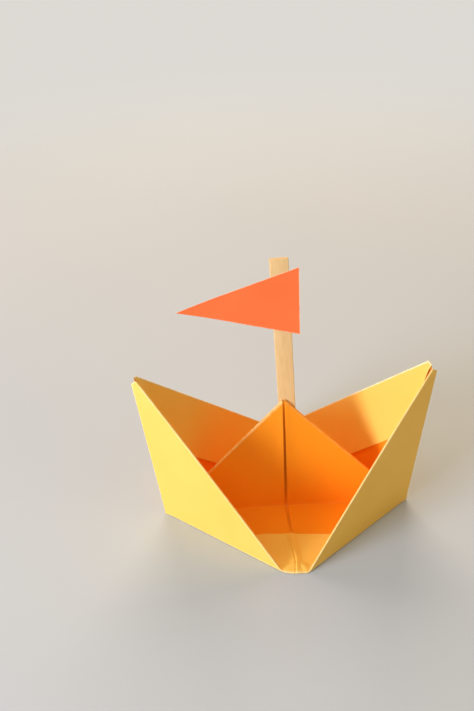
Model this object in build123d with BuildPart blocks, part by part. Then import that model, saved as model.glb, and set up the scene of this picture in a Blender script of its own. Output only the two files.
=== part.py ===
"""Folded paper sailboat: a hull folded from one sheet, a flat stick for a mast and a paper flag.

Millimetres. X runs along the keel line, from one raised tip to the other, -Y is the near side and +Z is up.
The origin is on the ground, under the middle of the overall box.
"""

import os
from math import cos, radians, sin, tan

from build123d import *

# Paper
paper = 0.2  # thickness of one ply of the hull sheet
flag_paper = 0.2

# Hull, seen from above: the keel line carries the peak, and each side opens out flat on the ground
keel_half = 54.8  # from the middle of the keel line to the foot of each end fold
nose_left = (-4.8, 40.7)  # flattened near corner: x, and reach from the keel line
nose_right = (6.2, 42.1)
far_reach = 56.8  # from the keel line to the far corner

# Hull, seen from the side: both walls rise to a tip at each end
end_lean = 6.9  # degrees that the end folds lean out
near_rim_rise = 76.3  # where the near rims would meet the end folds
near_tip_height = 73.5  # where the blunt near tips stop
far_rim_rise = 78.0
far_tip_height = 77.2

# Strips folded up inside the rims
near_strip = 24.5
far_strip = 25.0

# Peak, the pocket that stands on the keel line
peak_lean = 8.3  # degrees that it leans back
peak_height = 55.5  # along its face
pocket_half_gap = 0.15  # half of the space between its two faces
peak_hem = 1.5  # width of the pressed fold along each slanting edge

# Slit between the two corner flaps, down the near face and on along the floor
slit_top = 0.4  # its widths
slit_foot = 0.7
slit_start = 0.9  # on the floor
slit_end = 0.6
slit_drift = 0.9  # sideways run along the floor
slit_cover = 0.5  # that the strip hides of its end

# Centre crease that stands up in the near strip
ridge_width = 1.4
ridge_height = 0.5
ridge_drift = 1.0
ridge_setback = 0.6  # behind the edge of the strip

# Mast, glued to the far face of the peak
mast_top = 119.1  # along the face of the peak, from the keel line
mast_top_x = -0.65
mast_tilt = 1.8  # degrees, to the left going up
mast_top_width = 7.8
mast_foot_width = 6.8
mast_thickness = 1.8
foot_clearance = 0.3  # between the mast's foot and the floor of the hull

# Flag, glued to the near face of the mast
flag_drop = 3.8  # from the mast's top down to the flag's upper corner
flag_hoist = 30.0  # length of its upright edge
flag_reach = 51.0  # from that edge to the point
flag_point_drop = 16.8  # from the upper corner down to the point
flag_overhang = 3.7  # past the mast's right edge

past = 6.0  # how far a panel runs on before its neighbours trim it
keel_y = (max(nose_left[1], nose_right[1]) - far_reach) / 2  # the keel line, with the origin mid-way
near_plies = 3 * paper
flap_plies = 2 * paper
seam_step = 2.5 * paper  # the far walls start this far inside the near walls' end folds
near_hem = 4 * paper
far_hem = 2 * paper


def hull_point(x, y, z=0.0):
    """A point given from the middle of the keel line."""
    return Vector(x, keel_y + y, z)


def end_point(side, z, inset=0.0):
    """A point on the left (-1) or right (1) end fold, at height z."""
    return hull_point(side * (keel_half - inset + z * tan(radians(end_lean))), 0, z)


def inward_normal(a, b, c):
    """Unit normal of the plane through three points, on the side of the hull's inside."""
    normal = (b - a).cross(c - a).normalized()
    return normal if normal.dot(hull_point(0, 0, keel_half) - a) > 0 else normal * -1


def fold_plane(start, end, sheet_point, inward):
    """Plane across a fold: local X runs from the fold into the sheet, local Y towards the inside."""
    along = (end - start).normalized()
    across = sheet_point - start
    into_sheet = (across - along * across.dot(along)).normalized()
    return Plane(origin=start, x_dir=into_sheet, z_dir=into_sheet.cross(inward))


def folded_panel(plane, outline, hem, run, trims):
    """A panel with a rounded fold along one edge: its section is drawn across the fold and run along it."""
    low = outline[0][1]
    with BuildPart() as panel:
        with BuildSketch(plane):
            with BuildLine():
                Polyline(*outline)
                ThreePointArc(outline[-1], (0, low + hem / 2), outline[0])
            make_face()
        extrude(amount=run, both=True)
        for trim, side in trims:
            split(bisect_by=trim, keep=side)
    return panel.part


def rim_outline(plies, hem, strip, depth):
    """Section of a wall: the plies, with a narrow strip turned over the rim on the inside."""
    return [(hem / 2, 0), (depth, 0), (depth, plies), (strip, plies), (strip, hem), (hem / 2, hem)]


ground = (Plane.XY, Keep.TOP)
near_side = (Plane(origin=hull_point(0, 0), z_dir=(0, -1, 0)), Keep.TOP)
far_side = (Plane(origin=hull_point(0, 0), z_dir=(0, 1, 0)), Keep.TOP)
near_tips = (Plane.XY.offset(near_tip_height), Keep.BOTTOM)
far_tips = (Plane.XY.offset(far_tip_height), Keep.BOTTOM)

nose = {-1: hull_point(nose_left[0], -nose_left[1]), 1: hull_point(nose_right[0], -nose_right[1])}
far_corner = hull_point(0, far_reach)


def crease_point(corner, foot, tip, strip):
    """Where the edge of a strip of this width crosses the crease between a wall and the floor."""
    crease = (foot - corner).normalized()
    return corner + crease * (strip / crease.cross((tip - corner).normalized()).length)


# Near walls: the outer layer and the pair of corner flaps inside it, with the near strip over the rim
near_walls = []
near_wall_planes = []
near_strip_ends = {}
for side in (-1, 1):
    foot = end_point(side, 0)
    tip = end_point(side, near_rim_rise)
    inward = inward_normal(foot, nose[side], tip)
    wall_plane = fold_plane(tip, nose[side], foot, inward)
    rim_length = (nose[side] - tip).length
    outline = rim_outline(near_plies, near_hem, near_strip, (foot - tip).length + past)
    trims = [ground, near_side, near_tips]
    near_walls.append(folded_panel(wall_plane, outline, near_hem, rim_length + past, trims))
    near_wall_planes.append((Plane(origin=foot, z_dir=inward), Keep.TOP))
    near_strip_ends[side] = crease_point(nose[side], foot, tip, near_strip)

# Far walls: one ply, carried on from the inner ply of the near walls, with the far strip over the rim
far_walls = []
far_wall_planes = []
far_strip_ends = {}
for side in (-1, 1):
    foot = end_point(side, 0, seam_step)
    tip = end_point(side, far_rim_rise, seam_step)
    inward = inward_normal(foot, far_corner, tip)
    wall_plane = fold_plane(tip, far_corner, foot, inward)
    rim_length = (far_corner - tip).length
    outline = rim_outline(paper, far_hem, far_strip, (foot - tip).length + past)
    half = (Plane.YZ, Keep.TOP if side > 0 else Keep.BOTTOM)
    trims = [ground, far_side, far_tips, half]
    far_walls.append(folded_panel(wall_plane, outline, far_hem, rim_length + past, trims))
    far_wall_planes.append((Plane(origin=foot, z_dir=inward), Keep.TOP))
    far_strip_ends[side] = crease_point(far_corner, foot, tip, far_strip)

# Peak: its plane leans back from the keel line, with local X along the keel and local Y up the face
lean = radians(peak_lean)
peak_plane = Plane(origin=hull_point(0, 0), x_dir=(1, 0, 0), z_dir=(0, -cos(lean), sin(lean)))
near_pocket = (peak_plane.offset(pocket_half_gap), Keep.TOP)
far_pocket = (peak_plane.offset(-pocket_half_gap), Keep.BOTTOM)
near_face = pocket_half_gap + near_plies
far_face = pocket_half_gap + paper
peak_thickness = near_face + far_face
apex = peak_plane.from_local_coords(Vector(0, peak_height, 0))
peak_halves = []
for side in (-1, 1):
    foot = end_point(side, 0, seam_step)
    slant_plane = fold_plane(apex, foot, hull_point(0, 0), peak_plane.z_dir)
    depth = peak_height + past
    outline = [
        (peak_thickness / 2, -far_face),
        (depth, -far_face),
        (depth, -pocket_half_gap),
        (peak_hem, -pocket_half_gap),
        (peak_hem, pocket_half_gap),
        (depth, pocket_half_gap),
        (depth, near_face),
        (peak_thickness / 2, near_face),
    ]
    middle = (Plane(origin=apex, z_dir=(side, 0, 0)), Keep.TOP)
    run = (foot - apex).length + past
    peak_halves.append(folded_panel(slant_plane, outline, peak_thickness, run, [ground, middle]))

# Near floor: the strip lies on it behind the flattened nose, and its centre crease stands up
strip_middle = (near_strip_ends[-1] + near_strip_ends[1]) / 2
nose_middle = (nose[-1] + nose[1]) / 2
towards_nose = Vector(0, -1, 0)
slit_stop = Vector(slit_drift, strip_middle.Y) + towards_nose * slit_cover
ridge_start = Vector(slit_drift, strip_middle.Y, near_hem) + towards_nose * ridge_setback
ridge_end = Vector(slit_drift + ridge_drift, nose_middle.Y, near_hem) - towards_nose * ridge_setback
ridge_along = (ridge_end - ridge_start).normalized()
ridge_plane = Plane(origin=ridge_start, x_dir=Vector(0, 0, 1).cross(ridge_along), z_dir=ridge_along)
with BuildPart() as near_floor:
    with BuildSketch():
        with BuildLine():
            Polyline(
                hull_point(-keel_half - past, past),
                hull_point(keel_half + past, past),
                hull_point(keel_half + past, 0),
                nose[1],
                nose[-1],
                hull_point(-keel_half - past, 0),
                close=True,
            )
        make_face()
    extrude(amount=near_plies)
    with BuildSketch():
        with BuildLine():
            Polyline(nose[-1], nose[1], near_strip_ends[1], near_strip_ends[-1], close=True)
        make_face()
    extrude(amount=near_hem)
    for trim, side in [*near_wall_planes, near_pocket]:
        split(bisect_by=trim, keep=side)
    with BuildSketch(ridge_plane):
        with BuildLine():
            Polyline((-ridge_width / 2, 0), (ridge_width / 2, 0), (0, ridge_height), close=True)
        make_face()
    extrude(amount=(ridge_end - ridge_start).length)

# Far floor, with the strip lying on it in the far corner
with BuildPart() as far_floor:
    with BuildSketch():
        with BuildLine():
            Polyline(
                hull_point(-keel_half - past, -past),
                hull_point(keel_half + past, -past),
                far_corner + Vector(past, past),
                far_corner + Vector(-past, past),
                close=True,
            )
        make_face()
    extrude(amount=paper)
    with BuildSketch():
        with BuildLine():
            Polyline(far_corner, far_strip_ends[1], far_strip_ends[-1], close=True)
        make_face()
    extrude(amount=far_hem)
    for trim, side in [*far_wall_planes, far_pocket]:
        split(bisect_by=trim, keep=side)

with BuildPart() as hull:
    add(near_walls)
    add(near_floor.part)
    add(far_walls)
    add(far_floor.part)
    add(peak_halves)
    with BuildSketch(peak_plane.offset(near_face)):
        with BuildLine():
            Polyline(
                (-slit_foot / 2, paper),
                (slit_foot / 2, paper),
                (slit_top / 2, peak_height + past),
                (-slit_top / 2, peak_height + past),
                close=True,
            )
        make_face()
    extrude(amount=-flap_plies, mode=Mode.SUBTRACT)
    with BuildSketch(Plane.XY.offset(near_plies)):
        with BuildLine():
            Polyline(
                hull_point(-slit_start / 2, -far_face),
                hull_point(slit_start / 2, -far_face),
                slit_stop + Vector(slit_end / 2, 0),
                slit_stop - Vector(slit_end / 2, 0),
                close=True,
            )
        make_face()
    extrude(amount=-flap_plies, mode=Mode.SUBTRACT)

# Mast: square ends, its near face flat against the far face of the peak
tilt = radians(mast_tilt)
mast_back = far_face + mast_thickness
mast_foot = (paper + foot_clearance + mast_back * sin(lean)) / cos(lean) + mast_foot_width / 2 * sin(tilt)
mast_length = (mast_top - mast_foot) / cos(tilt)
mast_plane = Plane(
    origin=peak_plane.from_local_coords(Vector(mast_top_x, mast_top, -mast_back)),
    x_dir=peak_plane.x_dir * cos(tilt) + peak_plane.y_dir * sin(tilt),
    z_dir=peak_plane.z_dir,
)
with BuildPart() as mast:
    with BuildSketch(mast_plane):
        with BuildLine():
            Polyline(
                (-mast_top_width / 2, 0),
                (mast_top_width / 2, 0),
                (mast_foot_width / 2, -mast_length),
                (-mast_foot_width / 2, -mast_length),
                close=True,
            )
        make_face()
    extrude(amount=mast_thickness)

# Flag: one ply, its far face flat against the near face of the mast
hoist_top = mast_top - flag_drop
hoist_x = mast_top_x + (flag_drop + flag_hoist / 2) * sin(tilt) + mast_top_width / 2 + flag_overhang
with BuildPart() as flag:
    with BuildSketch(peak_plane.offset(-far_face)):
        with BuildLine():
            Polyline(
                (hoist_x, hoist_top),
                (hoist_x, hoist_top - flag_hoist),
                (hoist_x - flag_reach, hoist_top - flag_point_drop),
                close=True,
            )
        make_face()
    extrude(amount=flag_paper)

hull.part.label = "hull"
mast.part.label = "mast"
flag.part.label = "flag"

os.makedirs("parts", exist_ok=True)
export_step(hull.part, "parts/hull.step")
export_step(mast.part, "parts/mast.step")
export_step(flag.part, "parts/flag.step")
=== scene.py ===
"""An origami sailboat: a folded paper hull, a flat wooden mast and a paper flag.

Sizes are in millimetres, as the solids have them, and the meshes are made in metres. The hull is made as
paper: each sheet has its thickness, its turned-over rims and its rounded folds, and all of its creases run
from the two keel ends. A point on the floor is given across the boat and along it, from the keel's middle.
"""

import math
from types import SimpleNamespace

import bmesh
import bpy
import numpy as np
from mathutils import Matrix, Vector, noise


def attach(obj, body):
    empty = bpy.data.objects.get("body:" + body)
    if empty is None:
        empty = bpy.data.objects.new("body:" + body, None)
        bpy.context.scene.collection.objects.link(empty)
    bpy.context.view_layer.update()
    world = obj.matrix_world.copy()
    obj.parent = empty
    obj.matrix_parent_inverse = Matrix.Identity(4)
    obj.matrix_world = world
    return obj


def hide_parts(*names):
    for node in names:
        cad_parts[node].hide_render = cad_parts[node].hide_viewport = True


MM = 0.001

# The folded sheet, as the solids have it. Keys -1 and 1 are the left and the right half. A slip is how far
# a keel end lies off the keel's line, and a rise is how high a wall's tip would be uncut. The inner sheets'
# fold is set back from the outer sheet's end, and their own tip is cut off between its height on that fold
# and a share of the near rim. The pocket is half the gap inside the peak.
PAPER = 0.2
KEEL_HALF = 54.8
KEEL_Y = -7.35
END_SLIP = {-1: -1.3, 1: -0.7}
END_LEAN = math.radians(6.9)
NEAR_RIM_RISE = {-1: 79.0, 1: 78.0}
FAR_RIM_RISE = {-1: 78.2, 1: 79.9}
FOLD_SETBACK = {-1: 2.3, 1: 3.9}
RING_TIP = {-1: 74.2, 1: 73.2}
RING_SHOULDER = 0.06
PEAK_LEAN = math.radians(8.3)
PEAK_HEIGHT = 55.5
POCKET = 0.15

# How the sheets lie on one another, from the outside of the hull inwards. A bend is the radius of its
# outermost face, and a base is how deep that face lies in the two panels. At the peak's slanted edges the
# inner sheets turn the other way, round the lining, with a gap. An inset is how far a fold or an edge lies
# in from its ray. The two faces of the inner sheets have a depth on the near flaps, on the near wall and on
# the far side.
AIR = 0.01
NEAR_BEND = 0.9
NEAR_KEEL_BEND = 0.7
FAR_BEND = 0.5
FAR_KEEL_BEND = 0.3
END_BEND = 0.45
END_BASE = (0.6, 0.0)
END_INSET = 0.32
SLANT_INSET = 0.6
SLANT_GAP = 0.05
LINING_SETBACK = 0.3
RING_CLEARANCE = 0.25
FRONT_BOW = 0.9
RING_DEPTHS = ((PAPER, 2 * PAPER, 0.0), (3 * PAPER, 3 * PAPER, PAPER))

# What is different on the near side (-Y) and on the far side. A tip is cut off between its height on the
# end's fold and its height on the rim. A positive bow leans a rim into the hold. A hem is how much of a
# sheet's height its turned-over rim takes up. A strip's plies are counted from the outside, its lift is how
# far its free edge stands off the wall, and its rows are shares of its depth, from the rim down.
# A strip's wear is how pale its hem is painted: partly rubbing, partly a painted highlight along the rim
# where it catches the light.
NEAR = SimpleNamespace(
    way=-1,
    nose={-1: (-4.8, -40.7), 1: (6.2, -42.1)},
    tip={-1: (72.2, 75.2), 1: (71.1, 73.9)},
    bow={-1: 0.3, 1: 0.2},
    hem=2 * PAPER,
    strip=24.5,
    strip_plies=(3, 4),
    strip_inset=0.75,
    strip_lift=0.42,
    strip_rows=np.linspace(0.0, 1.0, 41),
    strip_wear=0.4,
)
FAR = SimpleNamespace(
    way=1,
    nose={-1: (-1.2, 56.7), 1: (1.2, 56.7)},
    tip={-1: (76.6, 76.5), 1: (75.2, 77.1)},
    bow={-1: -0.9, 1: -0.9},
    hem=PAPER,
    strip=25.0,
    strip_plies=(1, 2),
    strip_inset=1.0,
    strip_lift=0.8,
    strip_rows=np.array([0.0, 0.02, *np.linspace(0.06, 1.0, 14)]),
    strip_wear=1.0,
)

# The far strip's ends are cut on a slant, by a share of the depth below the rim as far as that grows, and
# stand off the wall, fully from a small depth on. Both fade along the rim.
END_SLANT = 0.4
END_SLANT_DEPTH = 16.0
END_SLANT_REACH = 40.0
END_LIFT = 1.1
END_LIFT_DEPTH = 1.5
END_LIFT_REACH = 5.0

# The near strip's free edge, the double crest where the two flaps below it meet, and its creased facets:
# start, end, rise, and width before and behind.
STRIP_EDGE = ((-10.7, -18.7), (3.3, -19.8), (17.6, -20.8))
RIDGE = ((-0.35, -17.4), (-0.37, -21.6), (0.23, -26.5), (1.07, -31.2), (1.35, -35.9), (0.85, -41.6))
RIDGE_SECTION = ((-2.6, 0.0), (-0.55, 0.5), (-0.2, 0.03), (0.5, 0.85), (0.95, 0.7), (3.2, 0.0))
RIDGE_FADE = ((-41.6, -39.0), (0.4, 1.0))
NOSE_FACETS = (
    ((-4.4, -40.9), (0.7, -36.8), 0.8, 3.4, 1.6),
    ((6.2, -42.1), (4.1, -37.9), 0.7, 1.5, 2.2),
)
FACET_SECTION = ((0.0, 0.8, 1.0, 1.35), (0.0, 1.0, 1.0, 0.0))

# The slit between the near flaps runs along the floor from the peak's foot to a turn, and from there to the
# middle of the front edge, with a half width at each of the three. It also goes up the peak. Beside it the
# flaps bulge, on the floor only over a share of their edge, and the bulge fades towards the keel end.
SLIT_LINE = ((0.0, 0.0), (0.9, -16.8))
SLIT_HALF = (0.6, 0.5, 0.1)
SLIT_TOP_HALF = 0.42
SLIT_SHARE = 0.36
PEAK_BULGE = 1.1
PEAK_BULGE_ROUNDNESS = 0.7
FLOOR_BULGE = 0.35
BULGE_POWER = 12

# How pale a sheet's bends are painted, in the order in which it meets its bends and flat parts: partly
# rubbing, partly a painted highlight where a bend catches the light. The peak's slanted edges are paler on
# the left, towards the light.
NEAR_WEAR_AND_HIGHLIGHT = (0, 0.3, 0, 0.1, 0)
RING_WEAR_AND_HIGHLIGHT = (0, 0.06, 0, 0.1, 0, 0.5, 0, 0.1, 0, 0.06, 0)
SLANT_WEAR_AND_HIGHLIGHT = {-1: 0.75, 1: 0.2}

# Mast and flag, in the plane of the peak: across, and up along it. Their faces are given as heights over
# that plane. The mast's ends are rounded by one length over another. Its wave has a size, a rate, and the
# place of its two sides in the noise.
MAST_TOP = (-0.65, 119.1)
MAST_TILT = math.radians(1.8)
MAST_WIDTH = (7.8, 6.8)
MAST_THICKNESS = 1.8
MAST_FACE = -0.36
MAST_FOOT = 0.75
MAST_CORNER = 0.28
MAST_CORNER_STEPS = 4
MAST_END_ROUND = (0.2, 0.4)
MAST_WAVE = (0.05, 0.09, 3.0)

# The flag's hoist is given across, and up to its top and its bottom. Where the flag is free of the mast, it
# curls by a size and a power, and waves by a size and a rate, of the share of its free length.
FLAG_HOIST = (7.54, 115.3, 85.3)
FLAG_POINT = (-43.46, 98.5)
FLAG_FACES = (-0.33, -0.16)
FLAG_FREE_FROM = 3.0
FLAG_FREE_LENGTH = 46.0
FLAG_CURL = (1.5, 2.2)
FLAG_WAVE = (0.35, 7.0)

# Rows from a keel end to the rim, as shares of the way. Within the tip row, thicknesses and bends shrink to
# nothing. Then the columns of points along each stretch of a sheet. Those of the front edge crowd in its
# middle.
TIP_ROW = 0.06
ROWS = np.array([0.0, 0.02, 0.04, *np.linspace(TIP_ROW, 0.97, 29), 0.985, 0.994, 1.0])
TIP_COLUMNS = 3
WALL_COLUMNS = 40
BEND_COLUMNS = 6
LINING_COLUMNS = (16, 24)
FLAP_COLUMNS = 26
SLIT_COLUMNS = (12, 10)
MOUTH_COLUMNS = 16
FRONT_COLUMNS = 49
FRONT_MIDDLE = FRONT_COLUMNS // 2
FRONT_CROWDING = 1.7
EDGE_STEPS = 4
HEM_STEPS = 6
WELDS_PER_MM = 1000

# Rows along the mast, with the distances of the first ones from an end. Rows across and along the flag, as
# shares, with narrow ones beside its paler edges.
MAST_ROWS = 60
MAST_END_ROWS = (0.0, 0.15, 0.4, 1.0)
FLAG_UPS = (0.0, 0.014, *np.linspace(0.05, 0.95, 22), 0.986, 1.0)
FLAG_ALONGS = (0.0, 0.008, *np.linspace(0.025, 1.0, 58))

OUTSIDE, INSIDE, CUT = 0, 1, 2

# The stage, in metres. The floor turns into the backdrop between these distances from the boat.
BACKDROP = (0.72, 0.7, 0.66)
FLOOR_FADE = (0.24, 0.65)
FLOOR_HALF = 3.0
FLOOR_DROP = 0.0001

# The photograph's camera. The focal length and the long side are in pixels, and the sensor in millimetres.
FOCAL_LENGTH = 964.0
LONG_SIDE = 711.0
SENSOR = 36.0
CAMERA_PLACE = (-0.0236, -0.32915, 0.3064)
CAMERA_RIGHT = (0.9986, -0.0381, -0.0358)
CAMERA_UP = (0.0511, 0.5674, 0.8219)
CAMERA_FORWARD = (0.011, 0.8226, -0.5685)

# Lamps: name, direction from the boat, distance, size, power and colour.
LAMPS = (
    ("key", (-0.81, -0.55, 0.21), 1.1, 0.45, 10.4, (0.94, 1.0, 1.2)),
    ("back_fill", (0.0, 0.82, 0.57), 1.2, 0.8, 10.2, (1.0, 0.74, 0.5)),
    ("upper_fill", (-0.43, -0.2, 0.88), 1.2, 0.8, 3.0, (1.0, 0.84, 0.6)),
    ("right_fill", (0.67, -0.47, 0.57), 1.2, 0.8, 1.0, (1.0, 0.85, 0.6)),
)
LAMP_AIM = (0.0, 0.0, 0.04)
WORLD_COLOUR = (1.0, 0.79, 0.5)
WORLD_STRENGTH = 0.4

UP = np.array((0.0, 0.0, 1.0))
ACROSS = np.array((1.0, 0.0, 0.0))
PEAK_UP = np.array((0.0, math.sin(PEAK_LEAN), math.cos(PEAK_LEAN)))
PEAK_NORMAL = np.array((0.0, -math.cos(PEAK_LEAN), math.sin(PEAK_LEAN)))
KEEL_MIDDLE = np.array((0.0, KEEL_Y, 0.0))
APEX = KEEL_MIDDLE + PEAK_UP * PEAK_HEIGHT

# A point in each hold, from the keel's middle and up, tells which side of a wall is its inside. A point far
# below the boat tells which way a rim bulges.
IN_HOLD = (12.0, 20.0)
FAR_BELOW = KEEL_MIDDLE - UP * 40.0


def unit(v):
    v = np.asarray(v, float)
    return v / np.linalg.norm(v)


def turned(v, axis, angle):
    """v turned about a unit axis."""
    c, s = math.cos(angle), math.sin(angle)
    return v * c + np.cross(axis, v) * s + axis * np.dot(axis, v) * (1 - c)


def between(a, b, count):
    """count points after a, the last of them b."""
    return [a + (b - a) * i / count for i in range(1, count + 1)]


def on_floor(across, along):
    return np.array((across, KEEL_Y + along, 0.0))


def on_peak(across, up, out=0.0):
    return KEEL_MIDDLE + ACROSS * across + PEAK_UP * up + PEAK_NORMAL * out


def near_tip(p):
    """The share of its full size that a thickness or a bend has at row p."""
    return min(1.0, p / TIP_ROW)


def half_round(start, end, out, steps):
    """Points, or lines of points, on half circles from start to end that bulge outwards."""
    start, end = np.asarray(start), np.asarray(end)
    middle, half = (start + end) / 2, (end - start) / 2
    radius = np.linalg.norm(half, axis=-1, keepdims=True)
    turns = [math.pi * i / steps for i in range(steps + 1)]
    lines = [middle - half * math.cos(a) + out * radius * math.sin(a) for a in turns]
    lines[0], lines[-1] = start, end
    return np.array(lines)


class Panel:
    """A flat part of the hull with one corner at a keel end. Its normal points into the hold."""

    def __init__(self, corner, normal, shift=0.0):
        self.corner = corner
        self.normal = normal
        self.shift = shift
        self.slip = np.array((0.0, END_SLIP[int(math.copysign(1, corner[0]))], 0.0))

    def inwards(self, a, b):
        """In the panel, across the line from a to b and towards its corner."""
        g = unit(np.cross(self.normal, b - a))
        return g if np.dot(g, self.corner - a) > 0 else -g

    def inset(self, line, distance):
        """A polyline moved inwards. Its ends stay on their rays from the corner."""
        runs = []
        for a, b in zip(line, line[1:]):
            g = self.inwards(a, b)
            runs.append((a + g * distance, g))
        moved = [self.crossing(self.corner, line[0] - self.corner, *runs[0])]
        for a, b, run, following in zip(line, line[1:], runs, runs[1:]):
            moved.append(self.crossing(run[0], b - a, *following))
        moved.append(self.crossing(self.corner, line[-1] - self.corner, *runs[-1]))
        return moved

    @staticmethod
    def crossing(start, way, point, across):
        """Where a line from start meets the line through point that has across square to it."""
        return start + way * (np.dot(point - start, across) / np.dot(way, across))

    def depth_of(self, a, b):
        """How far the line from a to b is from the corner."""
        return np.dot(self.corner - a, self.inwards(a, b))


class Rim:
    """Where a panel's rim leaves one of its creases."""

    def __init__(self, panel, line):
        self.reach = np.linalg.norm(line[0] - panel.corner)
        self.way = unit(line[1] - line[0])


class Crease:
    """A fold between panels a and b, along a ray from their corner, with one bend for all its sheets.

    Given the way outward, the panels lie back to back and the fold goes half round, inside of that ray.
    """

    def __init__(self, a, b, towards, bend, base=(0.0, 0.0), outward=None):
        self.a, self.b, self.bend, self.base = a, b, bend, base
        self.corner = a.corner
        self.axis = unit(towards - a.corner)
        na, nb = a.normal, b.normal
        if outward is None:
            sides = np.array((na, nb, self.axis))
            offsets = (a.shift + base[0] + bend, b.shift + base[1] + bend, 0.0)
            self.centre = np.linalg.solve(sides, offsets)
            self.angle = math.atan2(np.dot(np.cross(na, nb), self.axis), np.dot(na, nb))
        else:
            self.centre = na * (a.shift + base[0] + bend) - outward * SLANT_INSET
            quarter = turned(na, self.axis, math.pi / 2)
            self.angle = math.copysign(math.pi, np.dot(quarter, outward))

    def foot(self, panel):
        """From the ray to where that panel starts to be flat."""
        base = self.base[0] if panel is self.a else self.base[1]
        return self.centre - panel.normal * (self.bend + panel.shift + base)

    def slide(self, panel, rim, p):
        """How far along the ray that panel's row p starts."""
        foot = self.foot(panel)
        drift = np.dot(foot, foot) * np.dot(rim.way, self.axis) / np.dot(rim.way, foot)
        return p * rim.reach + drift * near_tip(p)

    def start(self, panel, rim, p, depth):
        lift = panel.normal * (panel.shift + depth)
        along = self.axis * self.slide(panel, rim, p)
        return self.corner + along + (self.foot(panel) + lift) * near_tip(p)

    def arc(self, rims, rows, depths):
        """The bend, as columns of points from panel a to panel b.

        Each of the two depths is one number, or one for each row.
        """
        first, last = (np.broadcast_to(d, (len(rows),)) - b for d, b in zip(depths, self.base))
        columns = []
        for i in range(BEND_COLUMNS + 1):
            f = i / BEND_COLUMNS
            n = turned(self.a.normal, self.axis, self.angle * f)
            column = []
            for p, d0, d1 in zip(rows, first, last):
                along = self.slide(self.a, rims[0], p) * (1 - f) + self.slide(self.b, rims[1], p) * f
                outwards = self.centre - n * (self.bend - (d0 + (d1 - d0) * f))
                column.append(self.corner + self.axis * along + outwards * near_tip(p))
            columns.append(column)
        return np.array(columns) + np.outer(1 - np.asarray(rows), self.a.slip)


class Edge:
    """A free side of a panel, a little way in from a ray from its corner."""

    def __init__(self, panel, towards, into, inset):
        self.corner = panel.corner
        self.axis = unit(towards - panel.corner)
        self.into = unit(into - self.axis * np.dot(into, self.axis)) * inset

    def start(self, panel, rim, p, depth):
        q = near_tip(p)
        drift = np.dot(self.into, self.into) * np.dot(rim.way, self.axis) / np.dot(rim.way, self.into)
        lift = panel.normal * (panel.shift + depth)
        return self.corner + self.axis * (p * rim.reach + drift * q) + (self.into + lift) * q


class Stretch:
    """A flat part of one face of a sheet: its panel, its rim, how deep it lies there and how it bulges."""

    def __init__(self, panel, line, depth, warp=None):
        self.panel, self.line, self.depth, self.warp = panel, line, depth, warp


def flat(stretch, first, last, rows=ROWS):
    """A stretch between two creases or edges, which move its rim's ends, as columns of points along it."""
    panel, line = stretch.panel, stretch.line
    depths = np.broadcast_to(stretch.depth, (len(rows),))
    edge_depth = float(depths[np.argmax(rows)])
    leave, arrive = Rim(panel, line), Rim(panel, line[::-1])
    starts = np.array([first.start(panel, leave, p, d) for p, d in zip(rows, depths)])
    ends = np.array([last.start(panel, arrive, p, d) for p, d in zip(rows, depths)])
    lift = panel.normal * (panel.shift + edge_depth)
    rim = [first.start(panel, leave, 1.0, edge_depth)]
    rim += [q + lift for q in line[1:-1]]
    rim.append(last.start(panel, arrive, 1.0, edge_depth))
    turns, lengths = [0.0], [0.0]
    for a, b in zip(rim, rim[1:]):
        cosine = np.dot(unit(a - panel.corner), unit(b - panel.corner))
        turns.append(turns[-1] + math.acos(min(1.0, cosine)))
        lengths.append(lengths[-1] + np.linalg.norm(b - a))
    lost_start = starts - panel.corner - np.outer(rows, rim[0] - panel.corner)
    lost_end = ends - panel.corner - np.outer(rows, rim[-1] - panel.corner)
    columns = []
    for q, turn, length in zip(rim, turns, lengths):
        w = turn / turns[-1]
        column = panel.corner + np.outer(rows, q - panel.corner) + lost_start * (1 - w) + lost_end * w
        if stretch.warp is not None:
            rises = [stretch.warp(length / lengths[-1], p) for p in rows]
            column = column + np.outer(rises, panel.normal)
        columns.append(column)
    return np.array(columns) + np.outer(1 - np.asarray(rows), panel.slip)


def bent(crease, before, after, rows=ROWS):
    """The bend between two stretches, in the order in which the sheet meets them."""
    rims = (Rim(before.panel, before.line[::-1]), Rim(after.panel, after.line))
    depths = (before.depth, after.depth)
    if crease.a is before.panel:
        return crease.arc(rims, rows, depths)
    return crease.arc(rims[::-1], rows, depths[::-1])[::-1]


def sheet_face(limits, stretches):
    """One face of a sheet, with a limit before and after each stretch: its bends and flat parts, in order.

    A sheet whose first limit is a crease runs full circle, and its first bend comes from its last stretch.
    """
    parts = []
    for i, stretch in enumerate(stretches):
        if isinstance(limits[i], Crease):
            parts.append(bent(limits[i], stretches[i - 1], stretch))
        parts.append(flat(stretch, limits[i], limits[i + 1]))
    return parts


def rim_of(wall, bend, floor):
    """The rim along a wall, round its nose and along the floor's front edge to the middle."""
    return np.concatenate([wall[:, -1], bend[1:, -1], floor[1 : FRONT_MIDDLE + 1, -1]])


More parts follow.
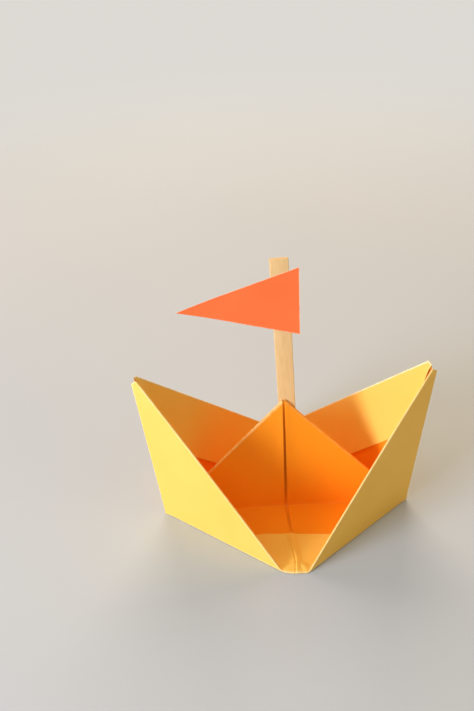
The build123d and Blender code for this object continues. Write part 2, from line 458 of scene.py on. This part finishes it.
class Solid:
    """A closed sheet, gathered grid by grid. Points in the same place become one point."""

    def __init__(self):
        self.found, self.points, self.wear, self.faces, self.sides = {}, [], [], [], []

    def point(self, p, wear):
        """The number of the point at p, which keeps the strongest paling it was given, for rubbing and
        painted highlight.
        """
        key = tuple(np.round(p * WELDS_PER_MM).astype(int))
        if key not in self.found:
            self.found[key] = len(self.points)
            self.points.append(p)
            self.wear.append(wear)
        i = self.found[key]
        self.wear[i] = max(self.wear[i], wear)
        return i

    def grid(self, columns, side, wear=0.0):
        """Faces between columns of points. Where points meet, a face has three corners or is left out."""
        columns = np.asarray(columns)
        wears = np.broadcast_to(wear, columns.shape[:2])
        ids = [[self.point(p, w) for p, w in zip(c, ws)] for c, ws in zip(columns, wears)]
        for left, right in zip(ids, ids[1:]):
            for i in range(len(left) - 1):
                face = [left[i], right[i], right[i + 1], left[i + 1]]
                face = [v for j, v in enumerate(face) if v != face[j - 1]]
                if len(face) > 2 and len(set(face)) == len(face):
                    self.faces.append(face)
                    self.sides.append(side)

    def sheet(self, faces, wears):
        """The outer and the inner face of a sheet, part by part."""
        for parts, side in zip(faces, (OUTSIDE, INSIDE)):
            for part, wear in zip(parts, wears):
                self.grid(part, side, wear)

    def edge(self, outer, inner, bulge, side, closed=False, wear=1.0, steps=EDGE_STEPS):
        """A rounded edge between a sheet's two faces. Closed, it has no ends of its own."""
        lines = half_round(outer, inner, bulge, steps)
        if closed:
            for end in (0, -1):
                lines[: steps // 2 + 1, end] = outer[end]
                lines[steps // 2 + 1 :, end] = inner[end]
        self.grid(lines, side, wear)


def bulge_of(outer, inner, away):
    """At each point of an edge between two faces, the direction out of the sheet and away from a point."""
    line = (outer + inner) / 2
    out = np.cross(np.gradient(line, axis=0), inner - outer)
    out /= np.linalg.norm(out, axis=1)[:, None]
    signs = np.sign(np.einsum("ij,ij->i", out, line - away))
    return out * signs[:, None]


class Side:
    """The near or the far side of one half: the peak's face, the floor, the wall and its rim.

    The half gives it its two creases, keel and nose.
    """

    def __init__(self, shape, sign, end, top):
        self.shape = shape
        self.bow = shape.bow[sign]
        self.noses = [on_floor(*shape.nose[s]) for s in (sign, -sign)]
        self.peak = Panel(end, PEAK_NORMAL * -shape.way, POCKET)
        self.floor = Panel(end, UP)
        nose = self.noses[0]
        normal = unit(np.cross(top - end, nose - end))
        hold = KEEL_MIDDLE + np.array((0.0, shape.way * IN_HOLD[0], IN_HOLD[1]))
        self.wall = Panel(end, normal if np.dot(normal, hold - end) > 0 else -normal)
        end_share, rim_share = (height / top[2] for height in shape.tip[sign])
        self.rim = [end + (top - end) * end_share, top + (nose - top) * (1 - rim_share), nose]
        self.strip_share = shape.strip / self.wall.depth_of(*self.rim[1:])

    def warp(self, t, p):
        """The wall's rim bows a little."""
        return self.bow * math.sin(math.pi * t) * p * p

    def front_run(self, inset):
        """The front edge moved inwards, as a line from this half's nose crease towards the other's."""
        a, b = self.noses
        g = self.floor.inwards(a, b)
        end = self.floor.corner
        corner = self.floor.crossing(end, a - end, a + g * inset, g)
        return [corner, corner + (b - a)]


class Half:
    """The panels, creases and rims of the left or the right half of the hull."""

    def __init__(self, sign):
        self.sign = sign
        self.end = on_floor(sign * KEEL_HALF, 0.0)
        nose = on_floor(*NEAR.nose[sign])
        rise = NEAR_RIM_RISE[sign]
        near_top = self.end + np.array((sign * rise * math.tan(END_LEAN), 0.0, rise))
        self.fold_top = near_top + unit(nose - self.end) * FOLD_SETBACK[sign]
        near = Side(NEAR, sign, self.end, near_top)
        far = Side(FAR, sign, self.end, self.on_fold(FAR_RIM_RISE[sign]))
        near.keel = Crease(near.peak, near.floor, KEEL_MIDDLE, NEAR_KEEL_BEND)
        near.nose = Crease(near.floor, near.wall, nose, NEAR_BEND)
        far.nose = Crease(far.wall, far.floor, far.noses[0], FAR_BEND)
        far.keel = Crease(far.floor, far.peak, KEEL_MIDDLE, FAR_KEEL_BEND)
        self.near, self.far = near, far
        self.fold = Crease(near.wall, far.wall, self.fold_top, END_BEND, END_BASE)
        slant_out = unit(np.cross(APEX - self.end, PEAK_NORMAL))
        slant_out = slant_out if slant_out[2] > 0 else -slant_out
        self.slant_in = -slant_out
        self.slant = Crease(far.peak, near.peak, APEX, -PAPER - SLANT_GAP, (0.0, PAPER), slant_out)
        self.ring_rim = [self.on_fold(RING_TIP[sign]), near_top + (nose - near_top) * RING_SHOULDER, nose]

    def on_fold(self, height):
        """A point on the fold of the inner sheet, which stops a little short of the outer sheet's end."""
        return self.end + (self.fold_top - self.end) * (height / NEAR_RIM_RISE[self.sign])


def wall_line(wall, rim, inset):
    """A wall's rim moved inwards, as points from its cut tip to the nose."""
    tip, shoulder, nose = wall.inset(rim, inset)
    return [tip, *between(tip, shoulder, TIP_COLUMNS), *between(shoulder, nose, WALL_COLUMNS)]


HALVES = (Half(-1), Half(1))
FRONT_SHARES = [
    0.5 + 0.5 * math.copysign(abs(u) ** FRONT_CROWDING, u) for u in np.linspace(-1, 1, FRONT_COLUMNS)
]


def bowed(start, end, bow):
    """Points from start to end along the front edge, which bows forwards, most near its start."""
    forwards = np.array((0.0, -bow, 0.0))
    return [start + (end - start) * t + forwards * math.sin(math.pi * t) * (1 - t) for t in FRONT_SHARES]


def front_lines(sides, inset, bow=0.0):
    """The floor's front edge moved inwards, from the left and from the right nose corner to its middle."""
    runs = [side.front_run(inset) for side in sides]
    ends = [side.nose.start(side.floor, Rim(side.floor, run), 1.0, 0.0) for side, run in zip(sides, runs)]
    points = bowed(*ends, bow)
    left = [runs[0][0], *points[1 : FRONT_MIDDLE + 1]]
    right = [runs[1][0], *points[-2 : FRONT_MIDDLE - 1 : -1]]
    return {-1: left, 1: right}


def near_sheet(solid, half):
    """Half of the outermost sheet of the near side: its wall, its floor and the lining of the peak."""
    near = half.near
    front = front_lines([h.near for h in HALVES], NEAR.hem, FRONT_BOW)[half.sign]
    line = wall_line(near.wall, near.rim, NEAR.hem)
    floor_line = [*front, *between(front[-1], KEEL_MIDDLE, LINING_COLUMNS[0])]
    peak_line = [KEEL_MIDDLE, *between(KEEL_MIDDLE, APEX, LINING_COLUMNS[1])]
    end_edge = Edge(near.wall, near.rim[0], near.rim[2] - half.end, END_INSET)
    slant_edge = Edge(near.peak, APEX, half.slant_in, SLANT_INSET + LINING_SETBACK)
    faces = []
    for wall_depth, depth in ((0.0, 0.0), (2 * PAPER - AIR, PAPER - AIR)):
        stretches = [
            Stretch(near.wall, line, wall_depth, near.warp),
            Stretch(near.floor, floor_line, depth),
            Stretch(near.peak, peak_line, depth),
        ]
        faces.append(sheet_face([end_edge, near.nose, near.keel, slant_edge], stretches))
    solid.sheet(faces, NEAR_WEAR_AND_HIGHLIGHT)
    outer, inner = faces
    solid.edge(outer[0][0], inner[0][0], -unit(end_edge.into), OUTSIDE, closed=True, wear=NEAR.strip_wear)
    solid.grid([outer[-1][-1], inner[-1][-1]], CUT)
    return [rim_of(*parts[:3]) for parts in faces]


def peak_bulge(t, p):
    """The peak's flaps bulge a little along the slit."""
    return PEAK_BULGE * math.sin(math.pi * t) ** PEAK_BULGE_ROUNDNESS * p**BULGE_POWER


def floor_bulge(t, p):
    """The floor's flaps bulge a little along the slit, as far as it shows."""
    return FLOOR_BULGE * math.sin(math.pi * min(1.0, t / SLIT_SHARE)) * p**BULGE_POWER


def flap_lines(half):
    """A near flap's free edges: down the peak to its foot, then along the floor to the nose's corner."""
    s = half.sign
    clear = NEAR.hem + RING_CLEARANCE
    foot, turn = (on_floor(x + s * (w + PAPER), y) for (x, y), w in zip(SLIT_LINE, SLIT_HALF))
    top = half.end + (APEX - half.end) * (1 - (SLIT_TOP_HALF + PAPER) / KEEL_HALF)
    front = front_lines([h.near for h in HALVES], clear, FRONT_BOW)[s]
    mouth = front[-1] + ACROSS * (s * (SLIT_HALF[-1] + PAPER))
    slit = [foot, *between(foot, turn, SLIT_COLUMNS[0]), *between(turn, mouth, SLIT_COLUMNS[1])]
    peak_line = [top, *between(top, foot, FLAP_COLUMNS)]
    return peak_line, [*slit, *between(mouth, front[0], MOUTH_COLUMNS)]


def ring_sheet(solid, half):
    """The inner sheets of one half: near flaps, then round its end to the far side and over the peak."""
    near, far = half.near, half.far
    peak_line, floor_line = flap_lines(half)
    line = wall_line(near.wall, half.ring_rim, NEAR.hem + RING_CLEARANCE)
    far_line = wall_line(far.wall, far.rim, FAR.hem)
    far_front = front_lines([h.far for h in HALVES], FAR.hem)[half.sign]
    far_floor_line = [*far_front, *between(far_front[-1], KEEL_MIDDLE, FLAP_COLUMNS)]
    far_peak_line = [KEEL_MIDDLE, *between(KEEL_MIDDLE, APEX, FLAP_COLUMNS)]
    limits = [half.slant, near.keel, near.nose, half.fold, far.nose, far.keel, half.slant]
    faces = []
    for near_depth, wall_depth, far_depth in RING_DEPTHS:
        stretches = [
            Stretch(near.peak, peak_line, near_depth, peak_bulge),
            Stretch(near.floor, floor_line, near_depth, floor_bulge),
            Stretch(near.wall, line[::-1], wall_depth, near.warp),
            Stretch(far.wall, far_line, far_depth, far.warp),
            Stretch(far.floor, far_floor_line, far_depth),
            Stretch(far.peak, far_peak_line, far_depth),
        ]
        faces.append(sheet_face(limits, stretches))
    solid.sheet(faces, (SLANT_WEAR_AND_HIGHLIGHT[half.sign], *RING_WEAR_AND_HIGHLIGHT))
    outer, inner = (np.concatenate([p[0][:, -1], *(q[1:, -1] for q in p[1:7])]) for p in faces)
    solid.edge(outer, inner, bulge_of(outer, inner, half.end), INSIDE, closed=True, wear=0.0)
    return [rim_of(*parts[7:10]) for parts in faces]


def ridge_x(along):
    """Where the ridge runs at this distance along the floor."""
    acrosses, alongs = zip(*RIDGE[::-1])
    return float(np.interp(along, alongs, acrosses))


def ridge(across, along):
    """The strip's fine double crest, where the two flaps below it meet. It is lower at the front edge."""
    rise = np.interp(across - ridge_x(along), *zip(*RIDGE_SECTION))
    return float(rise * np.interp(along, *RIDGE_FADE))


def crumple(across, along):
    """Small creased facets in the strip beside the nose's two corners."""
    height = 0.0
    for start, end, rise, before, behind in NOSE_FACETS:
        a, b = np.array(start), np.array(end)
        length = np.linalg.norm(b - a)
        way = (b - a) / length
        back = np.array((-way[1], way[0])) * (1 if way[0] > 0 else -1)
        here = np.array((across, along)) - a
        d = np.dot(here, back)
        share = np.interp(np.dot(here, way) / length, *FACET_SECTION)
        share *= max(0.0, 1 - (d / behind if d > 0 else -d / before))
        height = max(height, rise * float(share))
    return height


def crested_floor(left, right):
    """The near strip between its two bends: across the floor at the nose, up to its free edge."""
    edge_x = [left[-1][0], *(x for x, _ in STRIP_EDGE), right[-1][0]]
    edge_y = [left[-1][1], *(KEEL_Y + y for _, y in STRIP_EDGE), right[-1][1]]
    middle_x, crest_x = (left[0][0] + right[0][0]) / 2, RIDGE[0][0]
    columns = []
    for t, rim_point in zip(FRONT_SHARES, bowed(left[0], right[0], FRONT_BOW)):
        centred = 1 - abs(2 * t - 1)
        x = np.interp(t, (0.0, 0.5, 1.0), (left[-1][0], crest_x, right[-1][0]))
        edge_point = np.array((x, np.interp(x, edge_x, edge_y), left[-1][2]))
        column = []
        for v, z in zip(NEAR.strip_rows, left[:, 2]):
            q = rim_point + (edge_point - rim_point) * v
            along = q[1] - KEEL_Y
            q[0] += centred * (ridge_x(along) - (middle_x + (crest_x - middle_x) * v))
            q[2] = z + max(ridge(q[0], along), crumple(q[0], along))
            column.append(q)
        columns.append(column)
    return np.array(columns)


def straight_floor(left, right):
    """The far strip between its two bends."""
    return np.array([left + (right - left) * t for t in FRONT_SHARES])


def loose_end(columns, panel):
    """The far strip's end is cut on a slant and stands off the wall a little, below its rim."""
    tip = columns[0, 0]
    way = unit(columns[-1, 0] - columns[TIP_COLUMNS, 0])
    down = FAR.strip_rows * FAR.strip
    moved = columns.copy()
    for i, column in enumerate(columns):
        reach = np.linalg.norm(column[0] - tip)
        slant = END_SLANT * np.minimum(down, END_SLANT_DEPTH) * max(0.0, 1 - reach / END_SLANT_REACH)
        fading = math.exp(-((reach / END_LIFT_REACH) ** 2))
        lift = END_LIFT * np.minimum(1.0, down / END_LIFT_DEPTH) * fading
        moved[i] = column + np.outer(slant, way) + np.outer(lift, panel.normal)
    return moved


def strip_side(side, depths):
    """A strip down the inside of one wall, and its bend into the floor."""
    shape = side.shape
    shares = 1 - shape.strip_rows * side.strip_share
    end = Edge(side.wall, side.rim[0], side.rim[2] - side.wall.corner, shape.strip_inset)
    wall = Stretch(side.wall, wall_line(side.wall, side.rim, shape.hem), depths, side.warp)
    floor = Stretch(side.floor, side.front_run(shape.hem), depths)
    columns = flat(wall, end, side.nose, shares)
    if shape is FAR:
        columns = loose_end(columns, side.wall)
    return columns, bent(side.nose, wall, floor, shares)


def strip(solid, sides, rims, floor_between):
    """A sheet's rim turned over: a rounded hem, then down the inside of the walls and across the floor."""
    shape = sides[0].shape
    faces = []
    for ply in shape.strip_plies:
        depths = ply * PAPER + AIR + shape.strip_lift * shape.strip_rows**3
        (left_wall, left), (right_wall, right) = (strip_side(side, depths) for side in sides)
        parts = [left_wall, left, floor_between(left[-1], right[-1]), right[::-1], right_wall[::-1]]
        faces.append(np.concatenate([parts[0], *(part[1:] for part in parts[1:])]))
    hidden, shown = faces
    outer, inner = (np.concatenate([left, right[::-1][1:]]) for left, right in zip(*rims))
    out = bulge_of(outer, shown[:, 0], FAR_BELOW)
    solid.edge(outer, shown[:, 0], out, OUTSIDE, wear=shape.strip_wear, steps=HEM_STEPS)
    solid.edge(inner, hidden[:, 0], out, INSIDE, steps=HEM_STEPS)
    solid.grid(shown, OUTSIDE)
    solid.grid(hidden, INSIDE)
    solid.grid([shown[:, -1], hidden[:, -1]], CUT)
    for end in (0, -1):
        solid.grid([shown[end], hidden[end]], CUT)
        hems = [(outer[end], shown[end, 0]), (inner[end], hidden[end, 0])]
        solid.grid([half_round(a, b, out[end], HEM_STEPS) for a, b in hems], CUT)


def hull_mesh():
    """The hull's two closed bodies of paper: the near sheet, and the sheets inside it with the far side."""
    near, rest = Solid(), Solid()
    strip(near, [h.near for h in HALVES], [near_sheet(near, h) for h in HALVES], crested_floor)
    strip(rest, [h.far for h in HALVES], [ring_sheet(rest, h) for h in HALVES], straight_floor)
    return near, rest


def link(obj):
    bpy.context.scene.collection.objects.link(obj)
    return obj


def mesh_object(name, solids, materials, smooth=math.radians(32)):
    """One object from closed sheets, with a point attribute that says where its folds and edges are paler:
    partly rubbing, partly a painted highlight.
    """
    points, faces, sides, worn_and_highlit = [], [], [], []
    for solid in solids:
        first = len(points)
        points += [tuple(p * MM) for p in solid.points]
        faces += [[v + first for v in f] for f in solid.faces]
        sides += solid.sides
        worn_and_highlit += solid.wear
    mesh = bpy.data.meshes.new(name)
    mesh.from_pydata(points, [], faces)
    mesh.attributes.new("worn_and_highlit", "FLOAT", "POINT").data.foreach_set("value", [float(w) for w in worn_and_highlit])
    for material in materials:
        mesh.materials.append(material)
    mesh.polygons.foreach_set("material_index", sides)
    work = bmesh.new()
    work.from_mesh(mesh)
    bmesh.ops.recalc_face_normals(work, faces=work.faces)
    work.to_mesh(mesh)
    work.free()
    mesh.polygons.foreach_set("use_smooth", [True] * len(mesh.polygons))
    mesh.set_sharp_from_angle(angle=smooth)
    return link(bpy.data.objects.new(name, mesh))


def stick():
    """The mast: a flat stick with softened edges, cut straight across at its ends."""
    solid = Solid()
    up = PEAK_UP * math.cos(MAST_TILT) - ACROSS * math.sin(MAST_TILT)
    across = ACROSS * math.cos(MAST_TILT) + PEAK_UP * math.sin(MAST_TILT)
    top = on_peak(*MAST_TOP, MAST_FACE - MAST_THICKNESS / 2)
    length = (top[2] - MAST_FOOT) / up[2]
    around = []
    for quarter, (sx, sy) in enumerate(((1, 1), (-1, 1), (-1, -1), (1, -1))):
        for i in range(MAST_CORNER_STEPS + 1):
            a = math.radians(90 * (quarter + i / MAST_CORNER_STEPS))
            around.append((sx, sy, math.cos(a) * MAST_CORNER, math.sin(a) * MAST_CORNER))
    *ends, first = MAST_END_ROWS
    rows = [*ends, *np.linspace(first, length - first, MAST_ROWS), *(length - s for s in ends[::-1])]
    round_by, round_over = MAST_END_ROUND
    wave_size, rate, place = MAST_WAVE
    columns = []
    for sx, sy, dx, dy in [*around, around[0]]:
        column = []
        for s in rows:
            half = (MAST_WIDTH[0] + (MAST_WIDTH[1] - MAST_WIDTH[0]) * (s / length)) / 2
            inset = MAST_CORNER + round_by * (1 - min(1.0, min(s, length - s) / round_over)) ** 2
            wave = wave_size * noise.noise(Vector((s * rate, sx * place, 0.0)))
            x = sx * (half - inset + wave) + dx
            y = sy * (MAST_THICKNESS / 2 - inset) + dy
            column.append(top - up * s + across * x + PEAK_NORMAL * y)
        columns.append(column)
    solid.grid(columns, 0)
    for end, s in ((0, 0.0), (-1, length)):
        ring = [c[end] for c in columns]
        solid.grid([ring, [top - up * s] * len(ring)], 0)
    return solid


def pennant():
    """The flag: a paper triangle, glued to the mast by its hoist. Its free point curls forward a little."""
    solid = Solid()
    hoist_x, top, bottom = FLAG_HOIST
    hoist_ups = [top + (bottom - top) * v for v in FLAG_UPS]
    faces = []
    for out in FLAG_FACES:
        columns = []
        for u in FLAG_ALONGS:
            x = hoist_x + (FLAG_POINT[0] - hoist_x) * u
            free = max(0.0, (FLAG_FREE_FROM - x) / FLAG_FREE_LENGTH)
            curl = FLAG_CURL[0] * free ** FLAG_CURL[1]
            curl += FLAG_WAVE[0] * math.sin(free * FLAG_WAVE[1]) * free
            columns.append([on_peak(x, up + (FLAG_POINT[1] - up) * u, out + curl) for up in hoist_ups])
        faces.append(np.array(columns))
    back, front = faces
    rubbed_and_highlit = np.zeros(front.shape[:2])
    rubbed_and_highlit[0] = rubbed_and_highlit[:, 0] = rubbed_and_highlit[:, -1] = 1.0
    solid.grid(front, 0, rubbed_and_highlit)
    solid.grid(back, 0, rubbed_and_highlit)
    for a, b in ((front[0], back[0]), (front[:, 0], back[:, 0]), (front[:, -1], back[:, -1])):
        solid.grid([a, b], 1)
    return solid


class Nodes:
    """A node tree, with one call for each node."""

    def __init__(self, tree):
        self.tree = tree

    def add(self, kind, inputs=None, **settings):
        node = self.tree.nodes.new(kind)
        for key, value in settings.items():
            setattr(node, key, value)
        for socket, value in (inputs or {}).items():
            if isinstance(value, bpy.types.NodeSocket):
                self.tree.links.new(value, node.inputs[socket])
            else:
                node.inputs[socket].default_value = value
        return node

    def show(self, surface, output):
        self.tree.links.new(surface, self.tree.nodes[output].inputs["Surface"])

    def noise(self, scale, detail=3.0, stretch=(1.0, 1.0, 1.0)):
        place = self.add("ShaderNodeTexCoord").outputs["Object"]
        spread = self.add("ShaderNodeMapping", {"Vector": place, "Scale": stretch}).outputs["Vector"]
        inputs = {"Vector": spread, "Scale": scale, "Detail": detail}
        return self.add("ShaderNodeTexNoise", inputs).outputs["Fac"]

    def span(self, value, low, high, to_low=0.0, to_high=1.0, ease="LINEAR"):
        inputs = {"Value": value, "From Min": low, "From Max": high, "To Min": to_low, "To Max": to_high}
        return self.add("ShaderNodeMapRange", inputs, interpolation_type=ease).outputs["Result"]

    def maths(self, operation, a, b):
        return self.add("ShaderNodeMath", {0: a, 1: b}, operation=operation).outputs["Value"]

    def blend(self, share, a, b):
        """Colour a, or as much of colour b as share says. The numbers are the node's colour sockets."""
        return self.add("ShaderNodeMix", {0: share, 6: a, 7: b}, data_type="RGBA").outputs[2]

    def mix(self, share, a, b):
        return self.add("ShaderNodeMixShader", {0: share, 1: a, 2: b}).outputs["Shader"]

    def looked_at(self):
        """1 for what the camera sees, also in a reflection or through glass, and 0 for the other light."""
        rays = self.add("ShaderNodeLightPath").outputs
        seen = self.maths("MAXIMUM", rays["Is Camera Ray"], rays["Is Glossy Ray"])
        return self.maths("MAXIMUM", seen, rays["Is Transmission Ray"])


class Paint(Nodes):
    """A new material. Its settings are the shader's own sockets."""

    def __init__(self, name, **settings):
        self.material = bpy.data.materials.new(name)
        self.material.use_nodes = True
        super().__init__(self.material.node_tree)
        self.shader = self.tree.nodes["Principled BSDF"]
        for socket, value in settings.items():
            self.shader.inputs[socket.replace("_", " ")].default_value = value

    def to(self, socket, value):
        self.tree.links.new(value, self.shader.inputs[socket])

    def bump(self, height, distance, strength):
        inputs = {"Height": height, "Distance": distance, "Strength": strength}
        self.to("Normal", self.add("ShaderNodeBump", inputs).outputs["Normal"])


def rgb(r, g, b):
    return (r, g, b, 1.0)


def paper(name, colour, deep, rubbed_and_highlit):
    """Matt craft paper: faint cloudy mottling, fine fibres, and paler along folds and edges, partly as
    rubbing and partly as a painted highlight where they catch the light.
    """
    n = Paint(name, Roughness=0.62, Specular_IOR_Level=0.28)
    clouds = n.noise(scale=55.0, detail=4.0)
    fibres = n.noise(scale=2600.0)
    body = n.blend(n.span(clouds, 0.3, 0.7), colour, deep)
    body = n.blend(n.span(fibres, 0.35, 0.75, 0.0, 0.35), body, deep)
    # The pale colour along folds and edges is partly rubbing and partly a painted highlight where they
    # catch the light.
    worn_and_highlit = n.add("ShaderNodeAttribute", attribute_name="worn_and_highlit").outputs["Fac"]
    patchy = n.maths("MULTIPLY", worn_and_highlit, n.span(n.noise(scale=420.0), 0.3, 0.62, 0.35, 1.0))
    n.to("Base Color", n.blend(patchy, body, rubbed_and_highlit))
    n.to("Roughness", n.span(fibres, 0.3, 0.7, 0.55, 0.7))
    n.bump(fibres, distance=0.00005, strength=0.5)
    return n.material


def yellow_paper():
    return paper("paper_outside", rgb(0.97, 0.61, 0.12), rgb(0.95, 0.58, 0.1), rgb(0.98, 0.88, 0.55))


def orange_paper():
    return paper("paper_inside", rgb(0.98, 0.34, 0.008), rgb(0.97, 0.315, 0.006), rgb(0.98, 0.7, 0.3))


def cut_edge():
    return paper("paper_cut_edge", rgb(0.95, 0.74, 0.32), rgb(0.93, 0.7, 0.28), rgb(0.97, 0.82, 0.5))


def flag_paper():
    return paper("flag_paper", rgb(0.97, 0.195, 0.05), rgb(0.95, 0.175, 0.043), rgb(0.98, 0.7, 0.5))


def flag_cut_edge():
    return paper("flag_cut_edge", rgb(0.95, 0.55, 0.4), rgb(0.92, 0.45, 0.3), rgb(0.97, 0.7, 0.5))


def birch():
    """Pale birch: long fine grain along the stick, a few darker streaks and flecks."""
    n = Paint("birch_wood", Roughness=0.6, Specular_IOR_Level=0.3)
    grain = n.noise(scale=900.0, detail=5.0, stretch=(1.0, 1.0, 0.03))
    streaks = n.noise(scale=210.0, stretch=(1.0, 1.0, 0.05))
    flecks = n.noise(scale=1500.0, detail=2.0, stretch=(1.0, 1.0, 0.12))
    body = n.blend(n.span(grain, 0.3, 0.7), rgb(0.83, 0.57, 0.27), rgb(0.78, 0.51, 0.22))
    body = n.blend(n.span(streaks, 0.55, 0.75, 0.0, 0.3), body, rgb(0.68, 0.41, 0.17))
    body = n.blend(n.span(flecks, 0.68, 0.76, 0.0, 0.3), body, rgb(0.52, 0.29, 0.12))
    n.to("Base Color", body)
    n.bump(grain, distance=0.00006, strength=0.6)
    return n.material


def floor_paint():
    """Plain paint around the boat. Further away the floor looks like the backdrop."""
    n = Paint("floor_paint", Roughness=0.85)
    shade = n.span(n.noise(scale=6.0), 0.3, 0.7)
    n.to("Base Color", n.blend(shade, rgb(0.55, 0.63, 0.75), rgb(0.53, 0.61, 0.73)))
    place = n.add("ShaderNodeTexCoord").outputs["Object"]
    distance = n.add("ShaderNodeVectorMath", {0: place}, operation="LENGTH").outputs["Value"]
    faded = n.span(distance, *FLOOR_FADE, ease="SMOOTHSTEP")
    backdrop = n.add("ShaderNodeEmission", {"Color": rgb(*BACKDROP)}).outputs["Emission"]
    share = n.maths("MULTIPLY", faded, n.looked_at())
    n.show(n.mix(share, n.shader.outputs["BSDF"], backdrop), "Material Output")
    return n.material


def stage_floor():
    mesh = bpy.data.meshes.new("floor")
    corners = [(x * FLOOR_HALF, y * FLOOR_HALF, 0) for x, y in ((-1, -1), (1, -1), (1, 1), (-1, 1))]
    mesh.from_pydata(corners, [], [(0, 1, 2, 3)])
    mesh.materials.append(floor_paint())
    floor = link(bpy.data.objects.new("floor", mesh))
    floor.location.z = -FLOOR_DROP


def add_camera():
    """The photograph's viewing angle. The lens takes in the long side of the picture."""
    data = bpy.data.cameras.new("camera")
    data.sensor_width = SENSOR
    data.lens = FOCAL_LENGTH / LONG_SIDE * SENSOR
    data.clip_start, data.clip_end = 0.01, 20.0
    camera = link(bpy.data.objects.new("camera", data))
    turn = Matrix((CAMERA_RIGHT, CAMERA_UP, [-c for c in CAMERA_FORWARD])).transposed()
    camera.matrix_world = Matrix.Translation(CAMERA_PLACE) @ turn.to_4x4()
    bpy.context.scene.camera = camera


def add_lamp(name, towards, distance, size, watts, colour):
    data = bpy.data.lights.new(name, "AREA")
    data.size, data.energy, data.color = size, watts, colour
    lamp = link(bpy.data.objects.new(name, data))
    way = Vector(towards).normalized()
    lamp.location = Vector(LAMP_AIM) + way * distance
    lamp.rotation_mode = "QUATERNION"
    lamp.rotation_quaternion = way.to_track_quat("Z", "Y")


def add_world():
    """A warm, even light on the object. What the camera sees of the world itself is a pale backdrop."""
    world = bpy.data.worlds.new("studio")
    world.use_nodes = True
    n = Nodes(world.node_tree)
    light = n.tree.nodes["Background"]
    light.inputs["Color"].default_value = rgb(*WORLD_COLOUR)
    light.inputs["Strength"].default_value = WORLD_STRENGTH
    backdrop = n.add("ShaderNodeBackground", {"Color": rgb(*BACKDROP)}).outputs["Background"]
    n.show(n.mix(n.looked_at(), light.outputs["Background"], backdrop), "World Output")
    bpy.context.scene.world = world


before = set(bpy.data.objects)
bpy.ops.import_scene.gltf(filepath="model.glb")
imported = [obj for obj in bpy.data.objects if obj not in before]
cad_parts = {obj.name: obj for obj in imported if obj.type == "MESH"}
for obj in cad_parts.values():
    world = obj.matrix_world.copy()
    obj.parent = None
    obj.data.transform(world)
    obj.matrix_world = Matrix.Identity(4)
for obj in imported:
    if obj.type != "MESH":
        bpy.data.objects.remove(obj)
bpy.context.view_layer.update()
bpy.context.scene.view_settings.view_transform = "Standard"

PIECES = (
    ("folded_hull", hull_mesh(), (yellow_paper(), orange_paper(), cut_edge()), "hull", "hull_paper"),
    ("mast_stick", [stick()], (birch(),), "mast", "mast_wood"),
    ("flag_pennant", [pennant()], (flag_paper(), flag_cut_edge()), "flag", "flag_paper"),
)
for name, solids, materials, node, slot in PIECES:
    piece = mesh_object(name, solids, materials)
    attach(piece, "root")
    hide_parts(node)

stage_floor()
add_camera()
add_world()
for lamp in LAMPS:
    add_lamp(*lamp)
